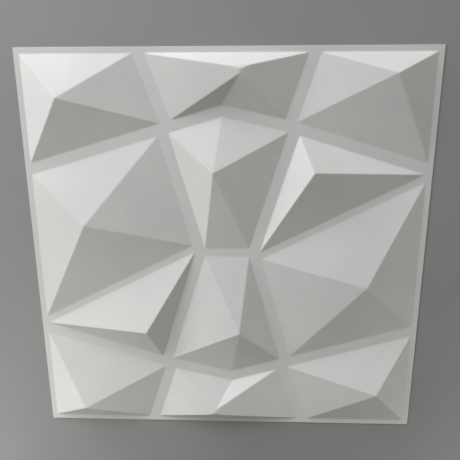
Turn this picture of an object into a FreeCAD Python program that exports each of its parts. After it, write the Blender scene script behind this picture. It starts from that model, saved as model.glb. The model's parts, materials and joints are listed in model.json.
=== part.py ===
import FreeCAD, Part
import os

# Faceted wall panel tile: one square PVC sheet, vacuum-formed into twelve hollow pyramids that stand in a
# net of flat channels inside a flat border. It lies on its back with the relief up, in millimetres.
# X runs to the right and Y up the panel as it hangs on the wall, and Z points out of the wall.
# The pattern repeats after a half turn about Z, so six cells are drawn and the others are turned copies.

# Sheet
PANEL_SIDE = 500.0
SHEET_GAUGE = 1.0
RELIEF = 20.0
RIDGE_RADIUS = 2.0
FOOT_RADIUS = 2.0

# Widths of the flat strips
BORDER = 7.0
CHANNEL = 14.0
DIAGONAL_CHANNEL = 9.0
CENTRE_CHANNEL = 10.5

# Where channel centrelines reach the panel's edges, measured along the edge from the nearest corner.
# The first distance serves all four edges, so the channels run on into the next tile.
CHANNEL_END = 144.5
DIAGONAL_END = 149.5

# Junctions of the cross channel, with X from the middle of the panel and depth below its top edge
LEFT_JUNCTION_X = -75.0
LEFT_JUNCTION_DEPTH = 93.0
RIGHT_JUNCTION_X = 79.5
RIGHT_JUNCTION_DEPTH = 92.0
BEND_X = -5.5
BEND_DEPTH = 72.5
# At a junction the channel above stands this much nearer to the middle than the channel below
STAGGER = 8.5
# Junctions on the horizontal midline, and how far from it the diagonal channels come in
CENTRE_JUNCTION_X = 34.0
DIAGONAL_RISE = 9.0

# Peaks, measured from the panel's edges or from the junction or bend beside them
TOP_LEFT_PEAK_INSET = 51.5
TOP_LEFT_PEAK_DEPTH = 57.0
# The top peak is a short crest, measured to its lower end
TOP_PEAK_X = 16.0
TOP_PEAK_DEPTH = 30.5
TOP_CREST = 7.0
TOP_RIGHT_PEAK_INSET = 55.0
TOP_RIGHT_PEAK_DEPTH = 30.5
LEFT_PEAK_INSET = 73.5
LEFT_PEAK_Y = 39.5
RIGHT_PEAK_FROM_JUNCTION = FreeCAD.Vector(26.0, -52.5, 0)
UPPER_PEAK_FROM_BEND = FreeCAD.Vector(-10.5, -72.5, 0)

HALF_SIDE = PANEL_SIDE / 2
Z_AXIS = FreeCAD.Vector(0, 0, 1)
ORIGIN = FreeCAD.Vector(0, 0, 0)


def point(x, y):
    return FreeCAD.Vector(x, y, 0)


def half_turn(place):
    return point(-place.x, -place.y)


def set_in(start, end, setback):
    """The line from start to end, moved to its left by setback, as a point and a direction."""
    along = (end - start).normalize()
    return start + Z_AXIS.cross(along) * setback, along


def crossing(first, second):
    """Where two such lines cross."""
    across = Z_AXIS.cross(second[1])
    travel = (second[0] - first[0]).dot(across) / first[1].dot(across)
    return first[0] + first[1] * travel


def cell_base(sides):
    """Flat base of a cell inside the border. Its sides (start, end, setback) run counter-clockwise."""
    lines = [set_in(*side) for side in sides]
    corners = [crossing(lines[i - 1], lines[i]) for i in range(len(lines))]
    field_side = PANEL_SIDE - 2 * BORDER
    field = Part.makePlane(field_side, field_side, point(-field_side / 2, -field_side / 2))
    return Part.Face(Part.makePolygon(corners + corners[:1])).common(field).Faces[0]


def crest(low, left_side, right_side):
    """Lower and upper end of a crest between two facets, in line with where their feet would meet."""
    meeting = crossing(set_in(*left_side), set_in(*right_side))
    reach = (low - meeting).Length
    high = meeting + (low - meeting) * (1 + TOP_CREST / reach)
    return low + Z_AXIS * (RELIEF * reach / (reach + TOP_CREST)), high + Z_AXIS * RELIEF


def pyramid(base, low, high):
    """Pyramid with rounded ridges, which run up to high from corners above low and to low from the rest.

    It is drawn from a little below the channels and trimmed at their plane, so the ridges run out cleanly.
    """
    corners = [vertex.Point for vertex in base.OuterWire.OrderedVertexes]
    tips = [high if corner.y > low.y else low for corner in corners]
    rim = [tip + (corner - tip) * (1 + RIDGE_RADIUS / tip.z) for corner, tip in zip(corners, tips)]
    facets = []
    for i in range(len(rim)):
        top = [tips[i]] if tips[i] == tips[i - 1] else [tips[i], tips[i - 1]]
        facets.append(Part.Face(Part.makePolygon([rim[i - 1], rim[i], *top, rim[i - 1]])))
    foot = Part.Face(Part.makePolygon(rim + rim[:1]))
    sharp = Part.Solid(Part.Shell(facets + [foot]))
    ridges = [edge for edge in sharp.Edges if edge.BoundBox.ZMax > 0]
    rounded = sharp.makeFillet(RIDGE_RADIUS, ridges)
    above_channels = Part.makeBox(PANEL_SIDE, PANEL_SIDE, RELIEF, point(-HALF_SIDE, -HALF_SIDE))
    return rounded.common(above_channels)


def drawn_cells():
    """The six cells that are drawn, each as the sides of its base and the two ends of its peak."""
    top_left = point(-HALF_SIDE, HALF_SIDE)
    top_right = point(HALF_SIDE, HALF_SIDE)
    bottom_left = half_turn(top_right)
    bottom_right = half_turn(top_left)
    end = HALF_SIDE - CHANNEL_END
    top_end_left = point(-end, HALF_SIDE)
    top_end_right = point(end, HALF_SIDE)
    left_end = point(-HALF_SIDE, end)
    right_end = point(HALF_SIDE, end)

    left_junction = point(LEFT_JUNCTION_X, HALF_SIDE - LEFT_JUNCTION_DEPTH)
    right_junction = point(RIGHT_JUNCTION_X, HALF_SIDE - RIGHT_JUNCTION_DEPTH)
    bend = point(BEND_X, HALF_SIDE - BEND_DEPTH)
    inward = point(STAGGER / 2, 0)
    above_left = left_junction + inward
    below_left = left_junction - inward
    above_right = right_junction - inward
    below_right = right_junction + inward

    middle_left = point(-CENTRE_JUNCTION_X, 0)
    middle_right = half_turn(middle_left)
    left_diagonal = (point(-HALF_SIDE, DIAGONAL_END - HALF_SIDE), middle_left + point(0, DIAGONAL_RISE))
    right_diagonal = (half_turn(left_diagonal[1]), half_turn(left_diagonal[0]))

    channel = CHANNEL / 2
    diagonal = DIAGONAL_CHANNEL / 2
    top_left_cell = [
        (top_left, bottom_left, BORDER),
        (left_end, left_junction, channel),
        (above_left, top_end_left, channel),
        (top_right, top_left, BORDER),
    ]
    top_cell = [
        (top_right, top_left, BORDER),
        (top_end_left, above_left, channel),
        (left_junction, bend, channel),
        (bend, right_junction, channel),
        (above_right, top_end_right, channel),
    ]
    top_right_cell = [
        (top_right, top_left, BORDER),
        (top_end_right, above_right, channel),
        (right_junction, right_end, channel),
        (bottom_right, top_right, BORDER),
    ]
    left_cell = [
        (top_left, bottom_left, BORDER),
        (*left_diagonal, diagonal),
        (middle_left, below_left, channel),
        (left_junction, left_end, channel),
    ]
    right_cell = [
        (below_right, middle_right, channel),
        (*right_diagonal, diagonal),
        (right_end, right_junction, channel),
    ]
    upper_cell = [
        (below_left, middle_left, channel),
        (middle_left, middle_right, CENTRE_CHANNEL / 2),
        (middle_right, below_right, channel),
        (right_junction, bend, channel),
        (bend, left_junction, channel),
    ]
    pointed_cells = [
        (top_left_cell, top_left + point(TOP_LEFT_PEAK_INSET, -TOP_LEFT_PEAK_DEPTH)),
        (top_right_cell, top_right - point(TOP_RIGHT_PEAK_INSET, TOP_RIGHT_PEAK_DEPTH)),
        (left_cell, point(LEFT_PEAK_INSET - HALF_SIDE, LEFT_PEAK_Y)),
        (right_cell, right_junction + RIGHT_PEAK_FROM_JUNCTION),
        (upper_cell, bend + UPPER_PEAK_FROM_BEND),
    ]
    top_low, top_high = crest(point(TOP_PEAK_X, HALF_SIDE - TOP_PEAK_DEPTH), top_cell[1], top_cell[-1])
    drawn = [(top_cell, top_low, top_high)]
    for sides, peak in pointed_cells:
        tip = peak + Z_AXIS * RELIEF
        drawn.append((sides, tip, tip))
    return drawn


def forming_tool():
    """The mould under the sheet: pyramids on a slab, with rounded feet where they meet the channels."""
    drawn = [pyramid(cell_base(sides), low, high) for sides, low, high in drawn_cells()]
    turned = [cell.rotated(ORIGIN, Z_AXIS, 180) for cell in drawn]
    slab = Part.makeBox(PANEL_SIDE, PANEL_SIDE, RELIEF, point(-HALF_SIDE, -HALF_SIDE) - Z_AXIS * RELIEF)
    relief = slab.fuse(drawn + turned)
    channels = max(relief.Faces, key=lambda face: len(face.Wires))
    outlines = [wire for wire in channels.Wires if not wire.isSame(channels.OuterWire)]
    feet = [edge for outline in outlines for edge in outline.Edges]
    return relief.makeFillet(FOOT_RADIUS, feet)


def wall_panel():
    """The formed sheet. Its gauge is measured straight down, because a drawn sheet thins on the slopes."""
    tool = forming_tool()
    return tool.translated(Z_AXIS * SHEET_GAUGE).cut(tool)


os.makedirs("parts", exist_ok=True)
wall_panel().exportStep("parts/wall_panel.step")
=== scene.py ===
"""Faceted wall tile: a square PVC sheet, vacuum-formed into twelve hollow pyramids in a net of channels."""
import json
import math
from typing import NamedTuple

import bmesh
import bpy
import numpy as np
from bpy.props import FloatProperty, FloatVectorProperty, IntProperty, PointerProperty
from bpy.types import Operator, Panel, PropertyGroup
from mathutils import Matrix, Vector
from mathutils.geometry import delaunay_2d_cdt
from mathutils.kdtree import KDTree


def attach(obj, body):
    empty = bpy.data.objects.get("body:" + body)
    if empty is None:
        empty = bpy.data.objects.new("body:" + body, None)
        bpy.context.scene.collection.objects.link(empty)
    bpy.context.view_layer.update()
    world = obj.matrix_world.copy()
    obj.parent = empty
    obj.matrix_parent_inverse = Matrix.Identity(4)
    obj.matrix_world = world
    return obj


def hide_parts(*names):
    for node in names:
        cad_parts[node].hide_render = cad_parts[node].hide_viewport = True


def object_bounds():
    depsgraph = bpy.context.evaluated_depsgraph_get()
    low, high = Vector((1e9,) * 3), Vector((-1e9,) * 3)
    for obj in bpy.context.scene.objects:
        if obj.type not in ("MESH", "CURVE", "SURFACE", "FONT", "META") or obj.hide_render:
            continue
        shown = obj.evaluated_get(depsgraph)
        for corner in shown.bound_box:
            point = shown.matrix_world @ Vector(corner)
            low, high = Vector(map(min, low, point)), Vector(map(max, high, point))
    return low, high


bl_info = {
    "name": "Faceted Wall Tile",
    "version": (1, 0, 0),
    "blender": (4, 5, 0),
    "location": "View3D > Sidebar > Wall Tile",
    "description": "Forms a faceted PVC wall tile and sets a plain studio around it",
    "category": "Object",
}

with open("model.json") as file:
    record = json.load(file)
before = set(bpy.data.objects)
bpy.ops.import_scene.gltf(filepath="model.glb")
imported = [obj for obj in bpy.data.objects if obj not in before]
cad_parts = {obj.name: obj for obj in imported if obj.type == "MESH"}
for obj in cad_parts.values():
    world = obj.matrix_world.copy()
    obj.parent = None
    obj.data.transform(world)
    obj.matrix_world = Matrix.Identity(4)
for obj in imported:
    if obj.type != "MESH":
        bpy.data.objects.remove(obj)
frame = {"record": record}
CAD_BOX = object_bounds()

TILE_NODE = "wall_panel"
SHEET_SLOT = "pvc_sheet"
RECORD_COLOUR = next(m["base_color"] for m in frame["record"]["materials"] if m["slot"] == SHEET_SLOT)
TILE_SIDE = CAD_BOX[1][0] - CAD_BOX[0][0]

# Attributes of the drawn half: height of its underside, drop of its rounded edge, and where a lighter sheen
# is painted on it as a highlight
LIFT = "lift"
TRIM = "trim"
PAINTED_SHEEN = "polish"

# Shader groups that both materials use
MOTTLE_GROUP = "Faint mottle"
SKIN_GROUP = "Moulded skin"


# Settings that a user would change

def length(name, description, default):
    """A distance in metres."""
    return FloatProperty(
        name=name,
        description=description,
        default=default,
        min=0.0,
        subtype="DISTANCE",
        unit="LENGTH",
        precision=4,
    )


def share(name, description, default):
    """A share from none to all."""
    return FloatProperty(
        name=name, description=description, default=default, min=0.0, max=1.0, subtype="FACTOR"
    )


def colour(name, description, default):
    """A linear colour."""
    return FloatVectorProperty(
        name=name, description=description, default=default, size=3, min=0.0, max=1.0, subtype="COLOR"
    )


def place(name, description, default, size=2):
    """A place or a step in metres."""
    return FloatVectorProperty(
        name=name,
        description=description,
        default=default,
        size=size,
        subtype="XYZ",
        unit="LENGTH",
        precision=4,
    )


def watts(name, description, default):
    """Strength of a lamp."""
    return FloatProperty(name=name, description=description, default=default, min=0.0, unit="POWER")


class TileSizes(PropertyGroup):
    """Layout of the tile, measured in plan with the relief up and the top edge towards +Y."""

    side: length("Side", "Width and height of the square tile", TILE_SIDE)
    gauge: length("Gauge", "Thickness of the sheet, measured straight down", 0.001)
    relief: length("Relief", "Height of the peaks above the channels", 0.020)
    border: length("Border", "Width of the flat border", 0.007)
    channel: length("Channel", "Width of the flat channels", 0.014)
    diagonal_channel: length("Diagonal channel", "Width of the two channels from the sides", 0.009)
    centre_channel: length("Centre channel", "Width of the short channel in the middle", 0.0105)
    channel_end: length("Channel end", "From a corner to where a channel leaves the edge", 0.1445)
    diagonal_end: length("Diagonal end", "From a corner to where a diagonal channel leaves the edge", 0.1495)
    left_junction: place("Left junction", "Across from the middle and depth below the top", (-0.075, 0.093))
    right_junction: place("Right junction", "Across from the middle and depth below the top", (0.0795, 0.092))
    bend: place("Bend", "Bend of the cross channel, across from the middle and depth", (-0.0055, 0.0725))
    stagger: length("Stagger", "Step between the channels above and below a junction", 0.0085)
    centre_junction: length("Centre junction", "From the middle to a junction on the midline", 0.034)
    diagonal_rise: length("Diagonal rise", "How far from the midline a diagonal channel comes in", 0.009)
    top_left_peak: place("Top left peak", "Inset from the left and depth below the top", (0.0515, 0.057))
    top_peak: place("Top peak", "Lower end of its crest, across and depth", (0.016, 0.0305))
    top_crest: length("Top crest", "Length of the short crest on the top peak", 0.007)
    top_right_peak: place("Top right peak", "Inset from the right and depth below the top", (0.055, 0.0305))
    left_peak: place("Left peak", "Inset from the left edge and height above the middle", (0.0735, 0.0395))
    right_peak: place("Right peak", "Step from the right junction", (0.026, -0.0525))
    upper_peak: place("Upper peak", "Step from the bend", (-0.0105, -0.0725))


class FormingFinish(PropertyGroup):
    """How softly the sheet took the mould, and the look of its surface."""

    ridge_softness: length("Ridge softness", "Reach of the rounding on each side of a ridge", 0.0009)
    foot_softness: length("Foot softness", "Reach of the rounding where a facet meets a channel", 0.0011)
    peak_bluntness: length("Peak bluntness", "Extra reach of the rounding over the two crests", 0.0034)
    trim_round: length("Trim round", "Rounding of the trimmed edge", 0.0003)
    bow: length("Bow", "How strongly the facets stray from flat", 0.006)
    wave_length: length("Wave length", "Distance between the high spots on a facet", 0.085)
    seed: IntProperty(name="Seed", description="Which pattern of unevenness is used", default=4)
    sheet_colour: colour("Sheet colour", "Colour of the white sheet", RECORD_COLOUR)
    haze_colour: colour("Haze colour", "Colour of the slightly duller patches", (0.80, 0.802, 0.785))
    gloss_roughness: share("Gloss roughness", "Roughness of the smoother patches", 0.40)
    matt_roughness: share("Matt roughness", "Roughness of the duller patches", 0.54)
    # Painted sheen: a lighter colour painted on the trimmed edge and, more faintly, on the ridges as their
    # highlight, with a smoother roughness there
    painted_sheen_colour: colour("Sheen colour", "Colour of the rubbed edge", (0.93, 0.93, 0.92))
    sheen_roughness: share("Sheen roughness", "Roughness of the rubbed edge", 0.30)
    ridge_painted_sheen: share("Ridge polish", "How much of that polish the ridges show", 0.2)
    sheen_reach: length("Sheen reach", "How far the polish spreads from a ridge", 0.0010)
    grain_height: length("Grain height", "Depth of the fine grain", 0.00002)
    peel_height: length("Peel height", "Depth of the wider ripple in the skin", 0.00004)


class StageSettings(PropertyGroup):
    """Floor, light and camera."""

    floor_colour: colour("Floor colour", "Colour of the grey floor", (0.40, 0.397, 0.393))
    floor_shade: colour("Floor shade", "Colour of the faint patches on the floor", (0.37, 0.367, 0.364))
    # Painted shade: far from the tile the floor turns to this dark colour, standing in for light that falls
    # off
    far_floor_painted_shade: colour("Far floor colour", "Colour of the floor far from the tile", (0.15, 0.15, 0.15))
    world_colour: colour("Surroundings", "Colour of the light from all around", (1.0, 1.0, 0.9))
    world_strength: FloatProperty(
        name="Surroundings strength", description="Light from all around", default=0.077, min=0.0
    )
    key_colour: colour("Key colour", "Colour of the key lamp", (0.964, 0.966, 1.0))
    fill_colour: colour("Fill colour", "Colour of the other lamps", (1.0, 0.995, 0.965))
    key_power: watts("Key power", "Large soft lamp beyond the top left corner", 46.1)
    left_power: watts("Left power", "Low lamp by the left edge", 4.32)
    far_power: watts("Far power", "Large low lamp beyond the top right corner", 14.9)
    left_corner_power: watts("Left corner power", "Small lamp by the bottom left corner", 0.56)
    right_corner_power: watts("Right corner power", "Small low lamp by the bottom right corner", 0.3)
    camera_place: place("Camera place", "Where the camera stands", (0.02673, 0.20152, 0.62266), size=3)
    camera_target: place("Camera target", "Point in the middle of the image", (0.00381, 0.02980, 0.0), size=3)
    camera_roll: FloatProperty(
        name="Camera roll", description="Turn of the image", default=-0.0041, subtype="ANGLE"
    )
    lens: FloatProperty(
        name="Lens", description="Focal length on a 36 mm sensor", default=39.856, min=1.0, unit="CAMERA"
    )


# Plan of the relief

def vector(x, y):
    return np.array((x, y))


def cross(a, b):
    return a[..., 0] * b[..., 1] - a[..., 1] * b[..., 0]


def inset_line(start, end, setback):
    """The line from start to end, moved to its left by setback, as a point and a direction."""
    along = (end - start) / np.linalg.norm(end - start)
    return start + setback * vector(-along[1], along[0]), along


def crossing(first, second):
    """Where two such lines cross."""
    travel = cross(second[0] - first[0], second[1]) / cross(first[1], second[1])
    return first[0] + travel * first[1]


def base_corners(*sides):
    """Corners of a cell whose sides (start, end, setback) run counter-clockwise."""
    lines = [inset_line(*side) for side in sides]
    return np.array([crossing(lines[i - 1], lines[i]) for i in range(len(lines))])


class Cell(NamedTuple):
    """One pyramid in plan: its base corners and, for each of them, the tip that its ridge runs up to."""

    corners: np.ndarray
    tips: np.ndarray
    heights: np.ndarray

    def turned(self):
        """The cell after a half turn of the tile."""
        return Cell(-self.corners, -self.tips, self.heights)

    def sides(self):
        """Numbers of the corners at the two ends of each side."""
        return [(i, (i + 1) % len(self.corners)) for i in range(len(self.corners))]

    def has_crest(self, i, j):
        """Whether the ridges from two corners run up to different tips."""
        return not np.array_equal(self.tips[i], self.tips[j])

    def facets(self):
        """The facets as triangles, each with the heights of its three points."""
        for i, j in self.sides():
            yield (self.corners[i], self.corners[j], self.tips[j]), (0.0, 0.0, self.heights[j])
            if self.has_crest(i, j):
                yield (self.corners[i], self.tips[j], self.tips[i]), (0.0, self.heights[j], self.heights[i])


def pointed(corners, peak, relief):
    """A cell with one peak."""
    return Cell(corners, np.tile(peak, (len(corners), 1)), np.full(len(corners), relief))


def crested(corners, low_tip, crest, relief):
    """A cell whose second and last sides rise to a short crest, in line with where those sides would meet."""
    meeting = crossing(inset_line(corners[1], corners[2], 0.0), inset_line(corners[-1], corners[0], 0.0))
    reach = np.linalg.norm(low_tip - meeting)
    high_tip = meeting + (low_tip - meeting) * (1 + crest / reach)
    low_height = relief * reach / (reach + crest)
    low_count = len(corners) - 2
    tips = np.array([high_tip] * 2 + [low_tip] * low_count)
    return Cell(corners, tips, np.array([relief] * 2 + [low_height] * low_count))


def drawn_cells(sizes):
    """The six cells that are drawn."""
    relief = sizes.relief
    half = sizes.side / 2
    top_left = vector(-half, half)
    top_right = vector(half, half)
    end = half - sizes.channel_end
    top_end_left = vector(-end, half)
    top_end_right = vector(end, half)
    left_end = vector(-half, end)
    right_end = vector(half, end)

    left_junction = vector(sizes.left_junction[0], half - sizes.left_junction[1])
    right_junction = vector(sizes.right_junction[0], half - sizes.right_junction[1])
    bend = vector(sizes.bend[0], half - sizes.bend[1])
    inward = vector(sizes.stagger / 2, 0)
    above_left = left_junction + inward
    below_left = left_junction - inward
    above_right = right_junction - inward
    below_right = right_junction + inward
    middle_left = vector(-sizes.centre_junction, 0)
    middle_right = -middle_left
    diagonal_start = vector(-half, sizes.diagonal_end - half)
    diagonal_finish = middle_left + vector(0, sizes.diagonal_rise)

    border = sizes.border
    channel = sizes.channel / 2
    diagonal = sizes.diagonal_channel / 2
    top_left_cell = base_corners(
        (top_left, -top_right, border),
        (left_end, left_junction, channel),
        (above_left, top_end_left, channel),
        (top_right, top_left, border),
    )
    top_cell = base_corners(
        (top_right, top_left, border),
        (top_end_left, above_left, channel),
        (left_junction, bend, channel),
        (bend, right_junction, channel),
        (above_right, top_end_right, channel),
    )
    top_right_cell = base_corners(
        (top_right, top_left, border),
        (top_end_right, above_right, channel),
        (right_junction, right_end, channel),
        (-top_left, top_right, border),
    )
    left_cell = base_corners(
        (top_left, -top_right, border),
        (diagonal_start, diagonal_finish, diagonal),
        (middle_left, below_left, channel),
        (left_junction, left_end, channel),
    )
    right_cell = base_corners(
        (below_right, middle_right, channel),
        (-diagonal_finish, -diagonal_start, diagonal),
        (right_end, right_junction, channel),
    )
    upper_cell = base_corners(
        (below_left, middle_left, channel),
        (middle_left, middle_right, sizes.centre_channel / 2),
        (middle_right, below_right, channel),
        (right_junction, bend, channel),
        (bend, left_junction, channel),
    )
    top_tip = vector(sizes.top_peak[0], half - sizes.top_peak[1])
    return [
        crested(top_cell, top_tip, sizes.top_crest, relief),
        pointed(top_left_cell, top_left + vector(sizes.top_left_peak[0], -sizes.top_left_peak[1]), relief),
        pointed(top_right_cell, top_right - vector(*sizes.top_right_peak), relief),
        pointed(left_cell, vector(sizes.left_peak[0] - half, sizes.left_peak[1]), relief),
        pointed(right_cell, right_junction + vector(*sizes.right_peak), relief),
        pointed(upper_cell, bend + vector(*sizes.upper_peak), relief),
    ]


def all_cells(sizes):
    """The drawn cells and their half-turn copies."""
    drawn = drawn_cells(sizes)
    return drawn + [cell.turned() for cell in drawn]


def crest_tips(cells):
    """High ends of all crests."""
    return np.array([cell.tips[0] for cell in cells if cell.has_crest(0, -1)])


# Height of the formed sheet

def sharp_relief(places, cells):
    """Height of the mould over points in plan if every ridge were sharp, zero in the channels."""
    height = np.zeros(len(places))
    for cell in cells:
        for (first, second, third), heights in cell.facets():
            out = places - third
            to_first = cross(out, second - third) / cross(first - third, second - third)
            to_second = cross(first - third, out) / cross(first - third, second - third)
            to_third = 1 - to_first - to_second
            facet = to_first * heights[0] + to_second * heights[1] + to_third * heights[2]
            on_facet = (to_first >= 0) & (to_second >= 0) & (to_third >= 0)
            height = np.where(on_facet, np.maximum(height, facet), height)
    return height


# Number of points that the rounding averages over, and the turn between one and the next
SOFTENING_POINTS = 120
SOFTENING_TURN = math.pi * (3 - math.sqrt(5))
# Height above the channels, as a share of the relief, up to which the rounding of the feet is felt
FOOT_SHARE = 0.12


def formed_relief(places, cells, sizes, finish):
    """Height of the sheet's underside: the sharp mould, averaged over a small disc around each point."""
    sharp = sharp_relief(places, cells)
    up_the_slope = np.clip(sharp / (FOOT_SHARE * sizes.relief), 0, 1)
    reach = finish.foot_softness + (finish.ridge_softness - finish.foot_softness) * up_the_slope
    for tip in crest_tips(cells):
        away = np.linalg.norm(places - tip, axis=1) / (2 * finish.peak_bluntness)
        reach = reach + finish.peak_bluntness * np.exp(-away ** 2)
    height = np.zeros(len(places))
    for i in range(SOFTENING_POINTS):
        radius = math.sqrt((i + 0.5) / SOFTENING_POINTS)
        step = radius * vector(math.cos(i * SOFTENING_TURN), math.sin(i * SOFTENING_TURN))
        height += sharp_relief(places + reach[:, None] * step, cells)
    return height / SOFTENING_POINTS


def distance_to_lines(places, lines):
    """From each point in plan to the nearest of some lines, given by their two ends."""
    nearest = np.full(len(places), np.inf)
    for start, end in lines:
        run = end - start
        along = np.clip((places - start) @ run / (run @ run), 0, 1)
        nearest = np.minimum(nearest, np.linalg.norm(places - start - along[:, None] * run, axis=1))
    return nearest


def ridge_painted_sheen(places, cells, sizes, finish):
    """How much painted sheen, a lighter colour standing in for a highlight, the sheet gets at points in plan:
    most on the ridges, not at all in the channels.
    """
    ridges = [ends for cell in cells for ends in zip(cell.corners, cell.tips)]
    away = distance_to_lines(places, ridges) / finish.sheen_reach
    up_the_slope = np.clip(sharp_relief(places, cells) / (FOOT_SHARE * sizes.relief), 0, 1)
    return finish.ridge_painted_sheen * up_the_slope * np.exp(-away ** 2)


# Points of the half that is drawn, above the midline of the tile

# Spacing of the points on ridges and feet, and distances of the first ones from the ends, where lines meet
LINE_STEP = 0.0045
END_STEPS = (0.0, 0.0008, 0.0017, 0.0030)
# Distances of the rows of points beside a ridge and beside a foot
RIDGE_ROWS = (0.0005, 0.0010, 0.0018)
FOOT_ROWS = (0.0006, 0.0012, 0.0020)
# Rings of points around a peak
PEAK_RINGS = (0.0035, 0.0055, 0.008, 0.011, 0.015)
PEAK_SPOKES = 20
# Spacing of the points around a blunted crest, and how far out from it they go
CREST_STEP = 0.0008
CREST_REACH = 0.016
# Rows across the rounded edge, and rows on the flat just inside it in multiples of its rounding
TRIM_ROWS = 4
TRIM_GUARDS = (1.7, 3.0)
# Spacing of the points on facets and along the edge, and the smallest distance between any two points
FIELD_STEP = 0.010
CLOSEST = 0.0004
# Points on lines are the same one within this distance
SAME = CLOSEST / 100
# Tolerance of the triangulation
MERGE = 1e-9


def relief_lines(cells):
    """Feet, ridges and crests of all cells, each as its start, its end and the rows of points beside it."""
    lines = []
    for cell in cells:
        for i, j in cell.sides():
            lines.append((cell.corners[i], cell.corners[j], FOOT_ROWS))
            lines.append((cell.corners[i], cell.tips[i], RIDGE_ROWS))
            if cell.has_crest(i, j):
                lines.append((cell.tips[i], cell.tips[j], RIDGE_ROWS))
    return lines


def above_midline(start, end):
    """The part of a line above the midline, or None."""
    if max(start[1], end[1]) <= CLOSEST:
        return None
    ends = []
    for here, there in ((start, end), (end, start)):
        if here[1] < 0:
            here = here + (there - here) * (here[1] / (here[1] - there[1]))
            here[1] = 0.0
        ends.append(here)
    return ends


def stations(run):
    """Distances along a line at which it gets points, closer together towards its ends."""
    first = END_STEPS[-1]
    if run < 3 * first:
        return np.linspace(0, run, max(3, math.ceil(run / END_STEPS[1])))
    middle = np.linspace(first, run - first, math.ceil((run - 2 * first) / LINE_STEP) + 1)
    return np.concatenate((END_STEPS, middle[1:-1], run - np.array(END_STEPS[::-1])))


def near_crests(places, cells):
    """Which points in plan lie around a blunted crest."""
    return np.linalg.norm(places[:, None] - crest_tips(cells), axis=2).min(axis=1) < CREST_REACH


def points_along(first, last, cells):
    """Points on a line from first to last, with more of them around a crest."""
    run = np.linalg.norm(last - first)
    along = (last - first) / run
    usual = stations(run)
    extra = np.arange(CREST_STEP, run - CREST_STEP / 2, CREST_STEP)
    extra = extra[near_crests(first + extra[:, None] * along, cells)]
    if len(extra):
        apart = np.abs(usual[:, None] - extra).min(axis=1) > CREST_STEP / 2
        apart[[0, -1]] = True
        usual = np.sort(np.concatenate((usual[apart], extra)))
    places = first + usual[:, None] * along
    places[-1] = last
    return places


class PlanPoints:
    """Points of the plan, kept apart by a smallest distance, and the edges that join some of them."""

    def __init__(self):
        self.places = []
        self.squares = {}
        self.edges = set()

    def find(self, point, gap):
        """Index of a known point closer than a gap, or None."""
        column, row = (math.floor(value / CLOSEST) for value in point)
        for x in (column - 1, column, column + 1):
            for y in (row - 1, row, row + 1):
                for index in self.squares.get((x, y), ()):
                    if np.abs(self.places[index] - point).max() < gap:
                        return index
        return None

    def add(self, point, gap=CLOSEST):
        """Index of a point that is new, or of the one that already stands there."""
        known = self.find(point, gap)
        if known is not None:
            return known
        square = tuple(math.floor(value / CLOSEST) for value in point)
        self.squares.setdefault(square, []).append(len(self.places))
        self.places.append(np.array(point))
        return len(self.places) - 1

    def draw(self, places):
        """Adds a chain of points that stay joined in the triangles."""
        chain = [self.add(point, SAME) for point in places]
        self.edges.update(tuple(sorted(pair)) for pair in zip(chain, chain[1:]) if pair[0] != pair[1])


def draw_relief(points, cells):
    """Draws ridges, crests and feet, and returns the places of the rows beside them."""
    beside = []
    for start, end, rows in relief_lines(cells):
        clipped = above_midline(start, end)
        if clipped is None:
            continue
        first, last = clipped
        along = (last - first) / np.linalg.norm(last - first)
        across = vector(-along[1], along[0])
        on_line = points_along(first, last, cells)
        points.draw(on_line)
        for row in rows:
            beside += [point + side * row * across for point in on_line for side in (-1, 1)]
    return np.array(beside)


def draw_rim(points, half, trim_round, steps):
    """Draws rows of points around the edge, close together where it is rounded."""
    insets = [trim_round * (1 - math.cos(i * math.pi / 2 / TRIM_ROWS)) for i in range(TRIM_ROWS + 1)]
    insets += [trim_round * guard for guard in TRIM_GUARDS]
    for inset in insets:
        edge = half - inset
        across = np.clip(steps, -edge, edge)
        points.draw(vector(along, edge) for along in across)
        for side in (-edge, edge):
            points.draw(vector(side, up) for up in across if up >= 0)


def add_midline(points, steps):
    """Adds points on the midline that fall on each other after a half turn."""
    midline = [abs(point[0]) for point in points.places if point[1] == 0.0]
    midline += [abs(along) for along in steps]
    for along in midline:
        for side in (-1, 1):
            points.add(vector(side * along, 0.0), SAME)


def around_peaks(cells):
    """Places of rings around every peak, and of a fine grid around the crests."""
    around = []
    grid = np.arange(-CREST_REACH, CREST_REACH, CREST_STEP)
    for cell in cells:
        for tip in np.unique(cell.tips, axis=0):
            for ring in PEAK_RINGS:
                for spoke in range(PEAK_SPOKES):
                    angle = 2 * math.pi * spoke / PEAK_SPOKES
                    around.append(tip + ring * vector(math.cos(angle), math.sin(angle)))
        if cell.has_crest(0, -1):
            offsets = [vector(x, y) for x in grid for y in grid if math.hypot(x, y) < CREST_REACH]
            around += [cell.tips[0] + offset for offset in offsets]
    return np.array(around)


def fill_field(points, steps):
    """Adds a coarse grid of points wherever there are none yet."""
    taken = KDTree(len(points.places))
    for index, point in enumerate(points.places):
        taken.insert((*point, 0.0), index)
    taken.balance()
    for x in steps[1:-1]:
        for y in steps[1:-1]:
            if y > FIELD_STEP / 2 and taken.find((x, y, 0.0))[2] > FIELD_STEP / 2:
                points.add(vector(x, y))


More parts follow.
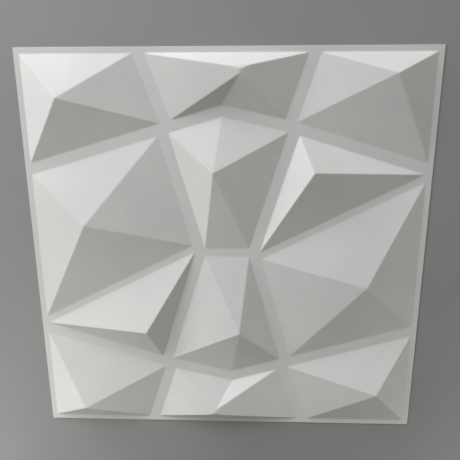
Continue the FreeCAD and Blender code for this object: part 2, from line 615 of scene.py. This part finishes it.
def half_plan(cells, sizes, finish):
    """Triangles of the upper half of the tile in plan, with points gathered along ridges, feet and edges."""
    half = sizes.side / 2
    steps = np.linspace(-half, half, 2 * math.ceil(half / FIELD_STEP) + 1)
    points = PlanPoints()
    beside = draw_relief(points, cells)
    draw_rim(points, half, finish.trim_round, steps)
    add_midline(points, steps)
    inner = half - finish.trim_round * TRIM_GUARDS[-1] - CLOSEST
    lines = [line[:2] for line in relief_lines(cells)]
    for places, gap in ((beside, CLOSEST), (around_peaks(cells), RIDGE_ROWS[-1] + CLOSEST)):
        for point in places[distance_to_lines(places, lines) > gap]:
            if CLOSEST < point[1] < inner and abs(point[0]) < inner:
                points.add(point)
    fill_field(points, steps)
    corners = [Vector(point) for point in points.places]
    made = delaunay_2d_cdt(corners, sorted(points.edges), [], 0, MERGE)
    return np.array([tuple(corner) for corner in made[0]]), made[2]


# Building of node trees

def set_or_link(tree, socket, value):
    """Links a value that comes out of a node, or sets a plain one."""
    if isinstance(value, bpy.types.NodeSocket):
        tree.links.new(value, socket)
    else:
        socket.default_value = value


def link_new(tree, kind, **inputs):
    """Adds a node and sets or links its inputs, named with underscores for spaces."""
    node = tree.nodes.new(kind)
    for name, value in inputs.items():
        socket = next(s for s in node.inputs if s.name == name.replace("_", " ") and s.enabled)
        set_or_link(tree, socket, value)
    return node


def math_node(tree, operation, *values):
    """Adds a Math node and returns its result."""
    node = tree.nodes.new("ShaderNodeMath")
    node.operation = operation
    for socket, value in zip(node.inputs, values):
        set_or_link(tree, socket, value)
    return node.outputs[0]


def mix_node(tree, kind, factor, first, second):
    """Mixes two colours or two values and returns the result."""
    node = tree.nodes.new("ShaderNodeMix")
    node.data_type = kind
    sockets = [socket for socket in node.inputs if socket.enabled]
    for socket, value in zip(sockets, (factor, first, second)):
        set_or_link(tree, socket, value)
    return next(socket for socket in node.outputs if socket.enabled)


def group_node(tree, name, **inputs):
    """Places a shader group in a material and sets or links its inputs."""
    node = tree.nodes.new("ShaderNodeGroup")
    node.node_tree = bpy.data.node_groups[name]
    for socket, value in inputs.items():
        set_or_link(tree, node.inputs[socket.replace("_", " ")], value)
    return node


def new_tree(name, kind, inputs, outputs):
    """A node tree with the sockets of its inputs and outputs, given by name and type."""
    tree = bpy.data.node_groups.new(name, kind)
    for way, sockets in (("INPUT", inputs), ("OUTPUT", outputs)):
        for socket, value_type in sockets.items():
            tree.interface.new_socket(socket, in_out=way, socket_type=f"NodeSocket{value_type}")
    return tree


# Geometry nodes that turn the drawn half into the whole sheet

# Points closer than this are welded
WELD = 1e-5
# Edges that turn by more than this are shaded sharp
SHARP_ANGLE = math.radians(35)


def sheet_tree():
    """Tree that lifts the drawn half, turns a copy of it, and gives the whole sheet its gauge."""
    inputs = {
        "Drawn half": "Geometry",
        "Gauge": "Float",
        "Relief": "Float",
        "Bow": "Float",
        "Wave length": "Float",
        "Seed": "Int",
        "Material": "Material",
    }
    tree = new_tree("Formed sheet", "GeometryNodeTree", inputs, {"Sheet": "Geometry"})
    given = tree.nodes.new("NodeGroupInput").outputs

    lift = link_new(tree, "GeometryNodeInputNamedAttribute", Name=LIFT).outputs["Attribute"]
    trim = link_new(tree, "GeometryNodeInputNamedAttribute", Name=TRIM).outputs["Attribute"]
    rise = link_new(tree, "ShaderNodeCombineXYZ", Z=lift).outputs[0]
    lifted = link_new(tree, "GeometryNodeSetPosition", Geometry=given["Drawn half"], Offset=rise).outputs[0]

    # A half turn of the drawn half makes the other one
    pair = link_new(tree, "GeometryNodePoints", Count=2).outputs[0]
    number = tree.nodes.new("GeometryNodeInputIndex").outputs[0]
    turn = link_new(tree, "ShaderNodeCombineXYZ", Z=math_node(tree, "MULTIPLY", number, math.pi)).outputs[0]
    turned = link_new(tree, "FunctionNodeEulerToRotation", Euler=turn).outputs[0]
    halves = link_new(
        tree, "GeometryNodeInstanceOnPoints", Points=pair, Instance=lifted, Rotation=turned
    ).outputs[0]
    whole = link_new(tree, "GeometryNodeRealizeInstances", Geometry=halves).outputs[0]
    back = link_new(tree, "GeometryNodeMergeByDistance", Geometry=whole, Distance=WELD).outputs[0]

    # Facets bow a little, most at half their height and not at all at the peaks and in the channels
    spot = tree.nodes.new("GeometryNodeInputPosition").outputs[0]
    noise = tree.nodes.new("ShaderNodeTexNoise")
    noise.noise_dimensions = "4D"
    tree.links.new(spot, noise.inputs["Vector"])
    tree.links.new(given["Seed"], noise.inputs["W"])
    tree.links.new(math_node(tree, "DIVIDE", 1.0, given["Wave length"]), noise.inputs["Scale"])
    noise.inputs["Detail"].default_value = 1.0
    bow = math_node(tree, "MULTIPLY", math_node(tree, "SUBTRACT", noise.outputs[0], 0.5), given["Bow"])
    height = math_node(tree, "DIVIDE", lift, given["Relief"])
    for share_of_height in (height, math_node(tree, "SUBTRACT", 1.0, height)):
        bow = math_node(tree, "MULTIPLY", bow, share_of_height)
    wave = link_new(tree, "ShaderNodeCombineXYZ", Z=bow).outputs[0]
    back = link_new(tree, "GeometryNodeSetPosition", Geometry=back, Offset=wave).outputs[0]

    # The front is the back raised by the gauge, and a rim joins the two along edges that have only one face
    wall = math_node(tree, "SUBTRACT", given["Gauge"], trim)
    up = link_new(tree, "ShaderNodeCombineXYZ", Z=wall).outputs[0]
    front = link_new(tree, "GeometryNodeSetPosition", Geometry=back, Offset=up).outputs[0]
    faces = tree.nodes.new("GeometryNodeInputMeshEdgeNeighbors").outputs[0]
    outline = math_node(tree, "LESS_THAN", faces, 1.5)
    rim = tree.nodes.new("GeometryNodeExtrudeMesh")
    rim.mode = "EDGES"
    tree.links.new(back, rim.inputs["Mesh"])
    tree.links.new(outline, rim.inputs["Selection"])
    tree.links.new(up, rim.inputs["Offset"])
    rim.inputs["Offset Scale"].default_value = 1.0
    edge_band = link_new(
        tree, "GeometryNodeSeparateGeometry", Geometry=rim.outputs["Mesh"], Selection=rim.outputs["Side"]
    )
    edge_band.domain = "FACE"
    underside = link_new(tree, "GeometryNodeFlipFaces", Mesh=back).outputs[0]
    joined = tree.nodes.new("GeometryNodeJoinGeometry")
    for surface in (front, edge_band.outputs[0], underside):
        tree.links.new(surface, joined.inputs[0])
    closed = link_new(
        tree, "GeometryNodeMergeByDistance", Geometry=joined.outputs[0], Distance=WELD
    ).outputs[0]

    # Shading is smooth but for the trimmed edge
    smooth = link_new(tree, "GeometryNodeSetShadeSmooth", Geometry=closed, Shade_Smooth=True).outputs[0]
    angle = tree.nodes.new("GeometryNodeInputMeshEdgeAngle").outputs[0]
    crease = tree.nodes.new("GeometryNodeSetShadeSmooth")
    crease.domain = "EDGE"
    tree.links.new(smooth, crease.inputs["Geometry"])
    tree.links.new(math_node(tree, "GREATER_THAN", angle, SHARP_ANGLE), crease.inputs["Selection"])
    crease.inputs["Shade Smooth"].default_value = False
    painted = link_new(
        tree, "GeometryNodeSetMaterial", Geometry=crease.outputs[0], Material=given["Material"]
    ).outputs[0]
    tree.links.new(painted, tree.nodes.new("NodeGroupOutput").inputs[0])
    return tree


def apply_tree(piece, tree, values):
    """Runs a geometry tree on a piece with its named inputs, and leaves the result as a plain mesh."""
    modifier = piece.modifiers.new(tree.name, "NODES")
    modifier.node_group = tree
    sockets = {item.name: item.identifier for item in tree.interface.items_tree if item.in_out == "INPUT"}
    for name, value in values.items():
        modifier[sockets[name]] = value
    graph = bpy.context.evaluated_depsgraph_get()
    made = bpy.data.meshes.new_from_object(piece.evaluated_get(graph), depsgraph=graph)
    piece.modifiers.clear()
    drawn = piece.data
    piece.data = made
    made.name = piece.name
    bpy.data.meshes.remove(drawn)
    return made


# Surface finishes

SHEET_SPECULAR = 0.4
FLOOR_SPECULAR = 0.15
# Span of the patch noise that is stretched from clean to dull
PATCH_SPAN = (0.35, 0.65)


def faint_mottle():
    """Shader group: two colours and two roughnesses that drift into each other, with a fine speckle."""
    inputs = {
        "Vector": "Vector",
        "Clean Colour": "Color",
        "Dull Colour": "Color",
        "Patch Scale": "Float",
        "Speckle Scale": "Float",
        "Speckle": "Float",
        "Gloss Roughness": "Float",
        "Matt Roughness": "Float",
    }
    tree = new_tree(MOTTLE_GROUP, "ShaderNodeTree", inputs, {"Colour": "Color", "Roughness": "Float"})
    given = tree.nodes.new("NodeGroupInput").outputs
    spot = given["Vector"]
    patches = link_new(
        tree, "ShaderNodeTexNoise", Vector=spot, Scale=given["Patch Scale"], Detail=4.0, Roughness=0.55
    ).outputs[0]
    speckle = link_new(
        tree, "ShaderNodeTexNoise", Vector=spot, Scale=given["Speckle Scale"], Detail=2.0
    ).outputs[0]
    spots = math_node(tree, "MULTIPLY", math_node(tree, "SUBTRACT", speckle, 0.5), given["Speckle"])
    clean_end, dull_end = PATCH_SPAN
    spread = link_new(tree, "ShaderNodeMapRange", Value=patches, From_Min=clean_end, From_Max=dull_end)
    dull = math_node(tree, "ADD", spread.outputs[0], spots)
    tint = mix_node(tree, "RGBA", dull, given["Clean Colour"], given["Dull Colour"])
    gloss, matt = given["Gloss Roughness"], given["Matt Roughness"]
    rough = link_new(tree, "ShaderNodeMapRange", Value=dull, To_Min=gloss, To_Max=matt).outputs[0]
    out = tree.nodes.new("NodeGroupOutput")
    tree.links.new(tint, out.inputs["Colour"])
    tree.links.new(rough, out.inputs["Roughness"])


def skin_height():
    """Shader group: height of a moulded plastic skin, a fine grain on a wider ripple."""
    inputs = {
        "Vector": "Vector",
        "Grain Scale": "Float",
        "Grain Height": "Float",
        "Peel Scale": "Float",
        "Peel Height": "Float",
    }
    tree = new_tree(SKIN_GROUP, "ShaderNodeTree", inputs, {"Height": "Float"})
    given = tree.nodes.new("NodeGroupInput").outputs
    spot = given["Vector"]
    grain = link_new(tree, "ShaderNodeTexNoise", Vector=spot, Scale=given["Grain Scale"], Detail=3.0)
    peel = link_new(tree, "ShaderNodeTexNoise", Vector=spot, Scale=given["Peel Scale"], Detail=1.0)
    grain_part = math_node(tree, "MULTIPLY", grain.outputs[0], given["Grain Height"])
    peel_part = math_node(tree, "MULTIPLY", peel.outputs[0], given["Peel Height"])
    height = math_node(tree, "ADD", grain_part, peel_part)
    tree.links.new(height, tree.nodes.new("NodeGroupOutput").inputs["Height"])


def sheen_painted(tree, spot):
    """How much painted sheen the sheet has, a lighter highlight colour on the ridges and the trimmed edge, as
    its attribute says.
    """
    attribute = tree.nodes.new("ShaderNodeAttribute")
    attribute.attribute_name = PAINTED_SHEEN
    return attribute.outputs["Fac"]


# Distances from the middle of the floor at which the painted shade, a falloff of light painted into its
# colour, starts and is full
FADE_START = 0.55
FADE_END = 1.35


def painted_falloff(tree, spot):
    """How much painted shade a spot on the floor gets, standing in for light falling off far from the tile:
    none near the middle, all far out.
    """
    distance = tree.nodes.new("ShaderNodeVectorMath")
    distance.operation = "LENGTH"
    tree.links.new(spot, distance.inputs[0])
    fade = link_new(
        tree, "ShaderNodeMapRange", Value=distance.outputs["Value"], From_Min=FADE_START, From_Max=FADE_END
    )
    fade.interpolation_type = "SMOOTHSTEP"
    return fade.outputs[0]


def mottled_material(name, mottle, skin, specular, where, colour, roughness):
    """A matt material from the two groups, with another colour and roughness where a function says."""
    material = bpy.data.materials.new(name)
    material.use_nodes = True
    tree = material.node_tree
    shader = tree.nodes["Principled BSDF"]
    shader.inputs["Specular IOR Level"].default_value = specular
    spot = tree.nodes.new("ShaderNodeTexCoord").outputs["Object"]
    look = group_node(tree, MOTTLE_GROUP, Vector=spot, **mottle)
    share_of_other = where(tree, spot)
    tint = mix_node(tree, "RGBA", share_of_other, look.outputs["Colour"], (*colour, 1.0))
    rough = mix_node(tree, "FLOAT", share_of_other, look.outputs["Roughness"], roughness)
    tree.links.new(tint, shader.inputs["Base Color"])
    tree.links.new(rough, shader.inputs["Roughness"])
    height = group_node(tree, SKIN_GROUP, Vector=spot, **skin)
    bump = link_new(tree, "ShaderNodeBump", Height=height.outputs["Height"], Strength=1.0, Distance=1.0)
    tree.links.new(bump.outputs["Normal"], shader.inputs["Normal"])
    return material


def sheet_material(finish):
    """White PVC as it comes off the mould: matt with a faint haze, a fine grain and a slight ripple, and a
    painted sheen, a lighter highlight colour, on its ridges and trimmed edge.
    """
    return mottled_material(
        "White formed PVC",
        {
            "Clean_Colour": (*finish.sheet_colour, 1.0),
            "Dull_Colour": (*finish.haze_colour, 1.0),
            "Patch_Scale": 9.0,
            "Speckle_Scale": 1400.0,
            "Speckle": 0.5,
            "Gloss_Roughness": finish.gloss_roughness,
            "Matt_Roughness": finish.matt_roughness,
        },
        {
            "Grain_Scale": 1100.0,
            "Grain_Height": finish.grain_height,
            "Peel_Scale": 190.0,
            "Peel_Height": finish.peel_height,
        },
        specular=SHEET_SPECULAR,
        # Painted sheen: a lighter colour on the ridges and the trimmed edge as a painted highlight, and a
        # smoother roughness there
        where=sheen_painted,
        colour=finish.painted_sheen_colour,
        roughness=finish.sheen_roughness,
    )


def floor_material(stage):
    """Plain grey floor with a faint drift of tone, and painted shade that darkens it far from the tile in
    place of light falling off.
    """
    return mottled_material(
        "Grey floor",
        {
            "Clean_Colour": (*stage.floor_colour, 1.0),
            "Dull_Colour": (*stage.floor_shade, 1.0),
            "Patch_Scale": 2.5,
            "Speckle_Scale": 300.0,
            "Speckle": 0.4,
            "Gloss_Roughness": 0.55,
            "Matt_Roughness": 0.75,
        },
        {"Grain_Scale": 400.0, "Grain_Height": 0.00003, "Peel_Scale": 40.0, "Peel_Height": 0.00003},
        specular=FLOOR_SPECULAR,
        # Painted shade: the floor darkens to the far colour away from the tile
        where=painted_falloff,
        colour=stage.far_floor_painted_shade,
        roughness=1.0,
    )


# Pieces

def shared_groups():
    """Makes the shader groups once."""
    for name, make in ((MOTTLE_GROUP, faint_mottle), (SKIN_GROUP, skin_height)):
        if name not in bpy.data.node_groups:
            make()


def flat_half(cells, sizes, finish):
    """Mesh of the drawn half in plan, with its lift, trim and painted sheen as attributes."""
    plan, triangles = half_plan(cells, sizes, finish)
    mesh = bpy.data.meshes.new("drawn_half")
    mesh.from_pydata(np.c_[plan, np.zeros(len(plan))].tolist(), [], triangles)
    inset = sizes.side / 2 - np.abs(plan).max(axis=1)
    rounding = np.clip(finish.trim_round - inset, 0, None)
    drop = finish.trim_round - np.sqrt(np.clip(finish.trim_round ** 2 - rounding ** 2, 0, None))
    for name, values in (
        (LIFT, formed_relief(plan, cells, sizes, finish)),
        (TRIM, drop),
        # Painted sheen: full on the rounded edge, fainter on the ridges
        (PAINTED_SHEEN, np.maximum(ridge_painted_sheen(plan, cells, sizes, finish), drop > 0)),
    ):
        attribute = mesh.attributes.new(name, "FLOAT", "POINT")
        attribute.data.foreach_set("value", values)
    return mesh


class TILE_OT_form_sheet(Operator):
    """Forms the sheet of the tile over its mould"""

    bl_idname = "wall_tile.form_sheet"
    bl_label = "Form Sheet"

    def execute(self, context):
        sizes = context.scene.tile_sizes
        finish = context.scene.tile_finish
        shared_groups()
        sheet = bpy.data.objects.new("formed_sheet", flat_half(all_cells(sizes), sizes, finish))
        context.scene.collection.objects.link(sheet)
        material = sheet_material(finish)
        mesh = apply_tree(
            sheet,
            sheet_tree(),
            {
                "Gauge": sizes.gauge,
                "Relief": sizes.relief,
                "Bow": finish.bow,
                "Wave length": finish.wave_length,
                "Seed": finish.seed,
                "Material": material,
            },
        )
        for name in (LIFT, TRIM):
            mesh.attributes.remove(mesh.attributes[name])
        shell = bmesh.new()
        shell.from_mesh(mesh)
        open_edges = [edge for edge in shell.edges if len(edge.link_faces) != 2]
        if open_edges:
            raise RuntimeError(f"the sheet is open along {len(open_edges)} edges")
        bmesh.ops.recalc_face_normals(shell, faces=shell.faces)
        shell.to_mesh(mesh)
        shell.free()
        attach(sheet, "root")
        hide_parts(TILE_NODE)
        return {"FINISHED"}


FLOOR_SIDE = 6.0
# The floor lies this far below the back of the tile
FLOOR_GAP = 0.0002
# Width of the camera's sensor in millimetres
SENSOR_WIDTH = 36.0


class Lamp(NamedTuple):
    """One round lamp of the studio: its settings, and its place as seen from the middle of the tile."""

    power: str
    colour: str
    bearing: float
    rise: float
    distance: float
    width: float

    def add(self, scene, stage):
        """Hangs the lamp out of view and points it at the tile."""
        lamp = bpy.data.lights.new(self.power.removesuffix("_power"), "AREA")
        lamp.shape = "DISK"
        lamp.size = self.width
        lamp.energy = getattr(stage, self.power)
        lamp.color = getattr(stage, self.colour)
        lit = bpy.data.objects.new(lamp.name, lamp)
        scene.collection.objects.link(lit)
        bearing, rise = math.radians(self.bearing), math.radians(self.rise)
        level = math.cos(rise)
        away = Vector((math.cos(bearing) * level, math.sin(bearing) * level, math.sin(rise)))
        lit.visible_camera = False
        lit.location = away * self.distance
        lit.rotation_euler = (-away).to_track_quat("-Z", "Y").to_euler()


# Bearings are in degrees from +X, and the rise is in degrees above the floor
LAMPS = (
    Lamp("key_power", "key_colour", bearing=125, rise=24, distance=2.4, width=2.2),
    Lamp("left_power", "fill_colour", bearing=150, rise=13, distance=1.15, width=0.8),
    Lamp("far_power", "fill_colour", bearing=45, rise=11, distance=2.4, width=2.2),
    Lamp("left_corner_power", "fill_colour", bearing=-140, rise=25, distance=0.6, width=0.4),
    Lamp("right_corner_power", "fill_colour", bearing=-40, rise=10, distance=0.6, width=0.4),
)


def add_floor(scene, stage):
    """Lays the floor just below the tile."""
    half = FLOOR_SIDE / 2
    mesh = bpy.data.meshes.new("floor")
    corners = [(-half, -half), (half, -half), (half, half), (-half, half)]
    mesh.from_pydata([(x, y, -FLOOR_GAP) for x, y in corners], [], [(0, 1, 2, 3)])
    mesh.materials.append(floor_material(stage))
    floor = bpy.data.objects.new("floor", mesh)
    scene.collection.objects.link(floor)


def add_surroundings(scene, stage):
    """Gives the scene an even light from all around."""
    world = bpy.data.worlds.new("Studio")
    world.use_nodes = True
    background = world.node_tree.nodes["Background"]
    background.inputs["Color"].default_value = (*stage.world_colour, 1.0)
    background.inputs["Strength"].default_value = stage.world_strength
    scene.world = world
    scene.view_settings.view_transform = "Standard"


def add_camera(scene, stage):
    """Places the camera and turns it to its target."""
    lens = bpy.data.cameras.new("camera")
    lens.lens = stage.lens
    lens.sensor_width = SENSOR_WIDTH
    camera = bpy.data.objects.new("camera", lens)
    scene.collection.objects.link(camera)
    backwards = (Vector(stage.camera_place) - Vector(stage.camera_target)).normalized()
    right = Vector((0, 1, 0)).cross(backwards).normalized()
    axes = Matrix((right, backwards.cross(right), backwards)).transposed()
    turned = axes @ Matrix.Rotation(stage.camera_roll, 3, "Z")
    camera.matrix_world = Matrix.Translation(stage.camera_place) @ turned.to_4x4()
    scene.camera = camera


class TILE_OT_set_stage(Operator):
    """Sets the floor, the light and the camera around the tile"""

    bl_idname = "wall_tile.set_stage"
    bl_label = "Set Stage"

    def execute(self, context):
        scene = context.scene
        stage = scene.tile_stage
        shared_groups()
        add_floor(scene, stage)
        add_surroundings(scene, stage)
        for lamp in LAMPS:
            lamp.add(scene, stage)
        add_camera(scene, stage)
        return {"FINISHED"}


class TILE_PT_sidebar(Panel):
    """Lists the tile's settings and steps"""

    bl_label = "Faceted Wall Tile"
    bl_idname = "TILE_PT_sidebar"
    bl_space_type = "VIEW_3D"
    bl_region_type = "UI"
    bl_category = "Wall Tile"

    def draw(self, context):
        layout = self.layout
        scene = context.scene
        for heading, settings, step in (
            ("Sizes", scene.tile_sizes, None),
            ("Finish", scene.tile_finish, TILE_OT_form_sheet.bl_idname),
            ("Stage", scene.tile_stage, TILE_OT_set_stage.bl_idname),
        ):
            box = layout.box()
            box.label(text=heading)
            for name in settings.__annotations__:
                box.prop(settings, name)
            if step:
                box.operator(step)


CLASSES = (TileSizes, FormingFinish, StageSettings, TILE_OT_form_sheet, TILE_OT_set_stage, TILE_PT_sidebar)
SETTINGS = {"tile_sizes": TileSizes, "tile_finish": FormingFinish, "tile_stage": StageSettings}


def register():
    for made in CLASSES:
        bpy.utils.register_class(made)
    for name, group in SETTINGS.items():
        setattr(bpy.types.Scene, name, PointerProperty(type=group))


def unregister():
    for name in SETTINGS:
        delattr(bpy.types.Scene, name)
    for made in reversed(CLASSES):
        bpy.utils.unregister_class(made)


def main():
    register()
    bpy.ops.wall_tile.form_sheet()
    bpy.ops.wall_tile.set_stage()


if __name__ == "__main__":
    main()
